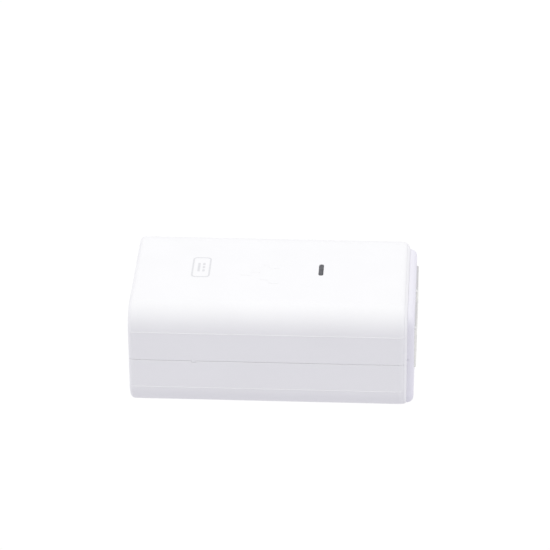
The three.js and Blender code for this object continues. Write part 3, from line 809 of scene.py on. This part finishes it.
def pin_dome(tip):
    """The profile of a pin's rounded tip, from a very small flat on its axis to its full radius."""
    angles = [math.pi / 2 * (0.04 + 0.96 * k / 8) for k in range(9)]
    return [(tip + 0.7 * PIN_RADIUS * (1 - math.cos(a)), PIN_RADIUS * math.sin(a)) for a in angles]


def inlet_pin(role):
    """A round pin with a domed tip and a flat tail that goes down to the board."""
    low, high = cad_box_mm("inlet_pin_" + role)
    centre = inlet_pins()[role]
    edge, half = PIN_TAIL["edge"], PIN_TAIL["half"]
    profile = pin_dome(low.x) + [(high.x - edge, PIN_RADIUS), (high.x, PIN_RADIUS - edge)]
    piece = turned_x("pin_" + role, centre, profile, 32)
    tail = rounded_rectangle(centre[0] - half, centre[0] + half, low.z, centre[1], PIN_TAIL["corner"], 2)
    back = high.x - edge
    fuse(piece, loft("tail", [across(back - PIN_TAIL["thick"], tail), across(back, tail)]))
    return smooth(piece)


# ---- Light, marks and label ----


def status_lens():
    """The smoked end of the light pipe: a stadium column with a collar and a soft, crowned top."""
    low, _ = cad_box_mm("light_pipe")
    top = HEIGHT - LAMP["sunk"]
    shoulder = top - LAMP_COLLAR["below"]
    foot, rise = shoulder - LAMP_COLLAR["thick"], LAMP_COLLAR["rise"]
    stations = [(low.z, -LAMP_FOOT_GAP), (foot, 0), (foot, rise), (shoulder, rise), (shoulder, 0)]
    for turn in quarter_turn(EDGE_STEPS):
        z = top - LAMP["crown"] * (1 - math.sin(turn))
        stations.append((z, -LAMP["edge"] * (1 - math.cos(turn))))
    return smooth(loft("status_lens", [flat(z, stadium(grow)) for z, grow in stations]), 40)


def bar(x, y, width, length, corner=0.15):
    return rounded_rectangle(x - width / 2, x + width / 2, y - length / 2, y + length / 2, corner, 4)


def plate(shape, outline, z0, z1):
    add_loft(shape, [flat(z0, outline), flat(z1, outline)])


def ring_plate(shape, outer, inner, z0, z1):
    """A flat frame between two outlines of equal length."""
    rows = []
    for outline, z in ((outer, z0), (outer, z1), (inner, z1), (inner, z0)):
        rows.append([shape.verts.new(point) for point in flat(z, outline)])
    for near, far in zip(rows, rows[1:] + rows[:1]):
        add_band(shape, near, far)


def output_mark():
    """A printed frame with the plain symbol for direct current: one line beside a broken line."""
    x, y = MIDDLE + MARK["x"], MARK["y"]
    z0, z1 = HEIGHT - INK / 2, HEIGHT + INK

    def frame_outline(inset):
        width, length = MARK["width"] - 2 * inset, MARK["length"] - 2 * inset
        return bar(x, y, width, length, MARK["corner"] - inset)

    def build(shape):
        offset, line = SIGN["offset"], SIGN["line"]
        ring_plate(shape, frame_outline(0), frame_outline(MARK["line"]), z0, z1)
        plate(shape, bar(x - offset, y, line, SIGN["length"]), z0, z1)
        for k in (-1, 0, 1):
            plate(shape, bar(x + offset, y + SIGN["pitch"] * k, line, SIGN["dash"]), z0, z1)

    return mesh_object("output_mark", build)


def network_relief():
    """A faint raised pictogram of three linked boxes, the plain sign for a network."""
    x, y = MIDDLE + RELIEF["x"], RELIEF["y"]
    reach, spread, line = RELIEF["reach"], RELIEF["spread"], RELIEF["line"]
    outlines = [
        bar(x + dx, y + dy, RELIEF_BOX["width"], RELIEF_BOX["length"], RELIEF_BOX["corner"])
        for dx, dy in ((-reach, 0), (reach, -spread), (reach, spread))
    ]
    outlines += [
        bar(x - 1.1, y, 3.4, line, 0.1),  # from the lone box to the upright
        bar(x + 0.4, y, line, 2 * spread + line, 0.3),  # the upright
        bar(x + 1.6, y - spread, 2.6, line, 0.1),  # from the upright to the pair of boxes
        bar(x + 1.6, y + spread, 2.6, line, 0.1),
    ]
    z0, z1 = HEIGHT - RELIEF["root"], HEIGHT + RELIEF["rise"]
    return [loft("relief", [flat(z0, outline), flat(z1, outline)]) for outline in outlines]


def blank_label():
    """The label in its recess, with no lettering."""
    low, high = cad_box_mm("rating_label")
    return loft("blank_label", [flat(low.z, label_outline()), flat(high.z, label_outline())])


# ---- Materials ----


class Nodes:
    """A material's node tree, with short ways to add what the materials here need."""

    def __init__(self, name):
        self.material = bpy.data.materials.new(name)
        self.material.use_nodes = True
        self.tree = self.material.node_tree
        self.shader = self.tree.nodes["Principled BSDF"]
        self.coordinates = self.tree.nodes.new("ShaderNodeTexCoord").outputs["Object"]

    def link(self, source, target):
        self.tree.links.new(source, target)

    def stretched(self, scale):
        mapping = self.tree.nodes.new("ShaderNodeMapping")
        mapping.inputs["Scale"].default_value = scale
        self.link(self.coordinates, mapping.inputs["Vector"])
        return mapping.outputs["Vector"]

    def noise(self, scale, detail, vector=None):
        node = self.tree.nodes.new("ShaderNodeTexNoise")
        node.inputs["Scale"].default_value = scale
        node.inputs["Detail"].default_value = detail
        self.link(vector or self.coordinates, node.inputs["Vector"])
        return node.outputs["Fac"]

    def colour(self, value, *stops):
        """Base colour between two (place, colour) stops."""
        node = self.tree.nodes.new("ShaderNodeValToRGB")
        for stop, (place, colour) in zip(node.color_ramp.elements, stops):
            stop.position = place
            stop.color = (*colour, 1)
        self.link(value, node.inputs["Fac"])
        self.link(node.outputs["Color"], self.shader.inputs["Base Color"])

    def roughness(self, value, low, high):
        node = self.tree.nodes.new("ShaderNodeMapRange")
        node.inputs["To Min"].default_value = low
        node.inputs["To Max"].default_value = high
        self.link(value, node.inputs["Value"])
        self.link(node.outputs["Result"], self.shader.inputs["Roughness"])

    def bump(self, height, strength, distance):
        node = self.tree.nodes.new("ShaderNodeBump")
        node.inputs["Strength"].default_value = strength
        node.inputs["Distance"].default_value = distance
        self.link(height, node.inputs["Height"])
        self.link(node.outputs["Normal"], self.shader.inputs["Normal"])


def shade(colour, factor):
    return tuple(c * factor for c in colour)


def moulded(name, colour, roughness, grain=2600, contrast=0.03, bump=0.12):
    """Moulded plastic: fine spark-eroded grain and slightly uneven colour and gloss."""
    nodes = Nodes(name)
    nodes.colour(nodes.noise(140, 2), (0.3, shade(colour, 1 - contrast)), (0.7, colour))
    nodes.roughness(nodes.noise(700, 4), roughness - 0.05, roughness + 0.06)
    nodes.bump(nodes.noise(grain, 2), bump, 0.00002)
    return nodes.material


def white_plastic(name, colour):
    """Satin white moulding: hardly any mottle, a fine spark-eroded grain and a soft, uneven gloss."""
    nodes = Nodes(name)
    nodes.colour(nodes.noise(60, 3), (0.3, shade(colour, 0.985)), (0.7, colour))
    nodes.roughness(nodes.noise(900, 4), 0.42, 0.54)
    nodes.bump(nodes.noise(3200, 3), 0.12, 0.000015)
    return nodes.material


def smoked(name):
    """Smoke-tinted plastic, dark while the light is off."""
    nodes = Nodes(name)
    cloud = nodes.noise(500, 2)
    nodes.colour(cloud, (0.35, (0.06, 0.062, 0.07)), (0.65, (0.09, 0.093, 0.1)))
    nodes.roughness(cloud, 0.22, 0.32)
    nodes.bump(nodes.noise(1500, 2), 0.05, 0.00001)
    return nodes.material


def metal(name, colour, roughness, brush=(1, 1, 1), metallic=1.0):
    """Plated or plain sheet, with fine drawing marks along one axis."""
    nodes = Nodes(name)
    marks = nodes.noise(900, 4, nodes.stretched(brush))
    nodes.colour(marks, (0.3, shade(colour, 0.86)), (0.7, colour))
    nodes.roughness(marks, roughness - 0.08, roughness + 0.1)
    nodes.shader.inputs["Metallic"].default_value = metallic
    nodes.bump(marks, 0.15, 0.00001)
    return nodes.material


def wound(name, colour, pitch):
    """Tape laid in turns, seen as close bands."""
    nodes = Nodes(name)
    wave = nodes.tree.nodes.new("ShaderNodeTexWave")
    wave.bands_direction = "Z"
    wave.inputs["Scale"].default_value = 1 / pitch
    wave.inputs["Distortion"].default_value = 0.6
    nodes.link(nodes.coordinates, wave.inputs["Vector"])
    bands = wave.outputs["Fac"]
    nodes.colour(bands, (0.1, shade(colour, 0.7)), (0.8, colour))
    nodes.shader.inputs["Roughness"].default_value = 0.4
    nodes.bump(bands, 0.4, 0.0001)
    return nodes.material


def laminate(name):
    """Green solder mask over faint copper tracks."""
    nodes = Nodes(name)
    bricks = nodes.tree.nodes.new("ShaderNodeTexBrick")
    bricks.inputs["Scale"].default_value = 160
    bricks.inputs["Mortar Size"].default_value = 0.06
    bricks.inputs["Color1"].default_value = (0.012, 0.09, 0.03, 1)
    bricks.inputs["Color2"].default_value = (0.016, 0.11, 0.036, 1)
    bricks.inputs["Mortar"].default_value = (0.03, 0.2, 0.06, 1)
    nodes.link(nodes.coordinates, bricks.inputs["Vector"])
    nodes.link(bricks.outputs["Color"], nodes.shader.inputs["Base Color"])
    nodes.shader.inputs["Roughness"].default_value = 0.35
    nodes.bump(bricks.outputs["Fac"], 0.2, 0.00003)
    return nodes.material


def sintered(name):
    """Dull, grainy ferrite."""
    nodes = Nodes(name)
    grains = nodes.noise(3000, 5)
    nodes.colour(grains, (0.35, (0.02, 0.02, 0.022)), (0.7, (0.055, 0.055, 0.06)))
    nodes.shader.inputs["Roughness"].default_value = 0.75
    nodes.bump(grains, 0.4, 0.00005)
    return nodes.material


def printed(name, colour, roughness=0.6):
    """Ink, paper or film, with a slight mottle."""
    nodes = Nodes(name)
    mottle = nodes.noise(1800, 3)
    nodes.colour(mottle, (0.3, shade(colour, 0.93)), (0.7, colour))
    nodes.roughness(mottle, roughness - 0.05, roughness + 0.05)
    nodes.bump(mottle, 0.08, 0.00001)
    return nodes.material


MATERIAL = {
    "white_plastic": white_plastic("white_plastic_satin", (0.9, 0.9, 0.9)),
    "black_plastic": moulded("black_plastic_matte", (0.018, 0.018, 0.02), 0.5, contrast=0.2),
    "grey_plastic": moulded("grey_plastic_matte", (0.2, 0.205, 0.215), 0.45, contrast=0.08),
    "clear_plastic": smoked("smoked_light_pipe"),
    "led_package": moulded("led_white", (0.75, 0.75, 0.7), 0.35),
    "yellow_plastic": moulded("capacitor_yellow", (0.62, 0.42, 0.03), 0.35, contrast=0.08),
    "capacitor_sleeve": moulded("capacitor_sleeve", (0.02, 0.025, 0.045), 0.3, contrast=0.2),
    "blue_coating": moulded("dipped_blue", (0.03, 0.1, 0.35), 0.3, grain=700, contrast=0.12, bump=0.3),
    "board_laminate": laminate("green_laminate"),
    "insulation_film": printed("insulation_film", (0.65, 0.62, 0.42), 0.4),
    "winding_tape": wound("winding_tape", (0.75, 0.5, 0.06), 0.003),
    "label_paper": printed("label_grey", (0.62, 0.62, 0.64)),
    "ferrite": sintered("ferrite"),
    "jack_tin": metal("jack_tin", (0.8, 0.8, 0.785), 0.32, (1, 12, 1)),
    "pin_nickel": metal("pin_nickel", (0.8, 0.78, 0.74), 0.3, (12, 1, 1), metallic=0.6),
    "contact_gold": metal("contact_gold", (0.95, 0.68, 0.26), 0.3, (6, 1, 1), metallic=0.35),
    "copper_wire": metal("enamelled_copper", (0.6, 0.2, 0.06), 0.3),
    "heatsink_aluminium": metal("heatsink_aluminium", (0.66, 0.67, 0.68), 0.4, (1, 1, 14)),
}
# the bezel's white is painted darker and more violet than the case's: painted shade, for the
# violet-tinted shade that falls on the bezel
BEZEL_PAINTED_SHADE = white_plastic("bezel_plastic_painted_shade", (0.845, 0.836, 0.885))
INK_GREY = printed("ink_grey", (0.75, 0.755, 0.765), 0.5)


def dress(piece, material):
    piece.data.materials.clear()
    piece.data.materials.append(material)
    return piece


def dress_cad_nodes():
    """The pieces that stay as the CAD made them get their slot's material and softened edges."""
    slots = {entry["node"]: entry["material_slot"] for entry in frame["record"]["subparts"]}
    for name, node in frame["nodes"].items():
        dress(node, MATERIAL[slots[name]])
        soften = node.modifiers.new("soft_edges", "BEVEL")
        soften.width = SOFT_EDGE * MM
        soften.segments = 2
        soften.limit_method = "ANGLE"
        soften.angle_limit = math.radians(40)


# ---- Studio ----

FLOOR_HALF = 3000
FLOOR_GLOW = (1.02, 1.02, 1.02)  # as seen, and in reflections
FLOOR_BOUNCE = (0.715, 0.703, 0.77)  # as it lights matt surfaces
LOW_TINT = (0.95, 0.94, 1.06)
# brightness of the light tent; the key light is a soft lobe in front, halfway up
TENT = {"front": 0.24, "overhead": 1.02, "ends": 0.95, "behind": 0.35, "key": 0.2}
CAMERA = {
    "aim": (1.02, 0.0, 32.65),  # from the middle of the case
    "azimuth": 3.42,
    "elevation": 29.65,
    "distance": 1029.9,
    "roll": -0.45,
    "lens": 220.6,
}


def calculate(tree, operation, *values):
    """A math node; each value is a number or another node's output."""
    node = tree.nodes.new("ShaderNodeMath")
    node.operation = operation
    for socket, value in zip(node.inputs, values):
        if hasattr(value, "links"):
            tree.links.new(value, socket)
        else:
            socket.default_value = value
    return node.outputs["Value"]


def components(tree, vector):
    """The X, Y and Z outputs of a vector."""
    node = tree.nodes.new("ShaderNodeSeparateXYZ")
    tree.links.new(vector, node.inputs["Vector"])
    return node.outputs


def floor_glow(tree):
    """An even glow that is softer for the light that falls back on matt surfaces."""
    colour = tree.nodes.new("ShaderNodeMix")
    colour.data_type = "RGBA"
    colour.inputs["A"].default_value = (*FLOOR_GLOW, 1)
    colour.inputs["B"].default_value = (*FLOOR_BOUNCE, 1)
    bounced = tree.nodes.new("ShaderNodeLightPath").outputs["Is Diffuse Ray"]
    tree.links.new(bounced, colour.inputs["Factor"])
    glow = tree.nodes.new("ShaderNodeEmission")
    tree.links.new(colour.outputs["Result"], glow.inputs["Color"])
    return glow.outputs["Emission"]


def studio_floor():
    """A pale table top: evenly white from above, and clear from below so that it hides nothing."""
    half = FLOOR_HALF
    square = [(-half, -half), (half, -half), (half, half), (-half, half)]
    floor = loft("floor", [flat(-6, square), flat(-0.01, square)])
    material = bpy.data.materials.new("pale_floor")
    material.use_nodes = True
    tree = material.node_tree
    tree.nodes.remove(tree.nodes["Principled BSDF"])
    towards_viewer = components(tree, tree.nodes.new("ShaderNodeNewGeometry").outputs["Incoming"])
    from_above = calculate(tree, "GREATER_THAN", towards_viewer["Z"], 0.0)
    surface = tree.nodes.new("ShaderNodeMixShader")
    tree.links.new(from_above, surface.inputs["Fac"])
    tree.links.new(tree.nodes.new("ShaderNodeBsdfTransparent").outputs["BSDF"], surface.inputs[1])
    tree.links.new(floor_glow(tree), surface.inputs[2])
    tree.links.new(surface.outputs["Shader"], tree.nodes["Material Output"].inputs["Surface"])
    floor.data.materials.append(material)


def tent_level(tree, direction, up):
    """Brightness of the tent in a direction, with lobes overhead, behind, at both ends and at the key."""
    behind = calculate(tree, "POWER", calculate(tree, "MAXIMUM", direction["Y"], 0.0), 4.0)
    sideways = calculate(tree, "POWER", calculate(tree, "ABSOLUTE", direction["X"]), 4.0)
    diagonal = calculate(tree, "SUBTRACT", direction["Z"], direction["Y"])
    towards_key = calculate(tree, "MAXIMUM", calculate(tree, "MULTIPLY", diagonal, math.sqrt(0.5)), 0.0)
    key = calculate(tree, "POWER", towards_key, 4.0)
    level = calculate(tree, "MULTIPLY_ADD", up, TENT["overhead"], TENT["front"])
    for lobe, name in ((behind, "behind"), (sideways, "ends"), (key, "key")):
        level = calculate(tree, "MULTIPLY_ADD", lobe, TENT[name], level)
    return level


def studio_light():
    """A light tent: bright overhead, behind and at both ends, dim in front, faintly violet low down."""
    world = bpy.data.worlds.new("tent")
    bpy.context.scene.world = world
    world.use_nodes = True
    tree = world.node_tree
    direction = components(tree, tree.nodes.new("ShaderNodeTexCoord").outputs["Generated"])
    up = calculate(tree, "MAXIMUM", direction["Z"], 0.0)
    tint = tree.nodes.new("ShaderNodeValToRGB")
    low, high = tint.color_ramp.elements
    low.color = (*LOW_TINT, 1)
    high.color = (1, 1, 1, 1)
    high.position = 0.7
    tree.links.new(up, tint.inputs["Fac"])
    background = tree.nodes["Background"]
    tree.links.new(tint.outputs["Color"], background.inputs["Color"])
    tree.links.new(tent_level(tree, direction, up), background.inputs["Strength"])


def camera():
    """The viewer, turned about the case from straight in front."""
    data = bpy.data.cameras.new("camera")
    data.lens = CAMERA["lens"]
    data.sensor_width = 36
    data.clip_start, data.clip_end = 0.01, 20
    viewer = bpy.data.objects.new("camera", data)
    bpy.context.collection.objects.link(viewer)
    turn, rise = math.radians(CAMERA["azimuth"]), math.radians(CAMERA["elevation"])
    back = Vector((math.sin(turn) * math.cos(rise), -math.cos(turn) * math.cos(rise), math.sin(rise)))
    aim = Vector(CAMERA["aim"]) + Vector((MIDDLE, 0, 0))
    viewer.location = (aim + back * CAMERA["distance"]) * MM
    look = (-back).to_track_quat("-Z", "Y").to_matrix().to_4x4()
    roll = Matrix.Rotation(math.radians(CAMERA["roll"]), 4, "Z")
    viewer.rotation_euler = (look @ roll).to_euler()
    bpy.context.scene.camera = viewer


# ---- The scene ----


def place(piece, slot_name, *replaced, body="injector"):
    """Rides a piece on its body and hides the CAD nodes that it stands for."""
    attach(piece, body)
    if replaced:
        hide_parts(*replaced)


def build_case():
    white = MATERIAL["white_plastic"]
    place(dress(top_case(), white), "white_plastic", "top_shell")
    place(dress(bottom_case(), white), "white_plastic", "bottom_shell")
    place(dress(port_cap(), white), "white_plastic", "end_cap")
    # the bezel's darker, violet white is painted shade
    place(dress(port_bezel(), BEZEL_PAINTED_SHADE), "white_plastic", "port_bezel")
    place(dress(output_mark(), INK_GREY), "grey_plastic")
    place(dress(status_lens(), MATERIAL["clear_plastic"]), "clear_plastic", "light_pipe")
    place(dress(blank_label(), MATERIAL["label_paper"]), "label_paper", "rating_label")


def build_jacks():
    black = MATERIAL["black_plastic"]
    for name in ("poe", "lan"):
        place(dress(shield_can(name), MATERIAL["jack_tin"]), "jack_tin", name + "_jack_shield")
        place(dress(jack_socket(name), black), "black_plastic", name + "_jack_housing")
        place(contact_row(name), "contact_gold", name + "_jack_contacts")
    place(dress(reset_key(), MATERIAL["grey_plastic"]), "grey_plastic", "reset_button", body="button")


def build_inlet():
    place(dress(mains_socket(), MATERIAL["black_plastic"]), "black_plastic", "inlet_housing")
    for role in PIN_ROLES:
        place(dress(inlet_pin(role), MATERIAL["pin_nickel"]), "pin_nickel", "inlet_pin_" + role)


dress_cad_nodes()
build_case()
build_jacks()
build_inlet()
studio_floor()
studio_light()
camera()
bpy.context.scene.view_settings.view_transform = "Standard"
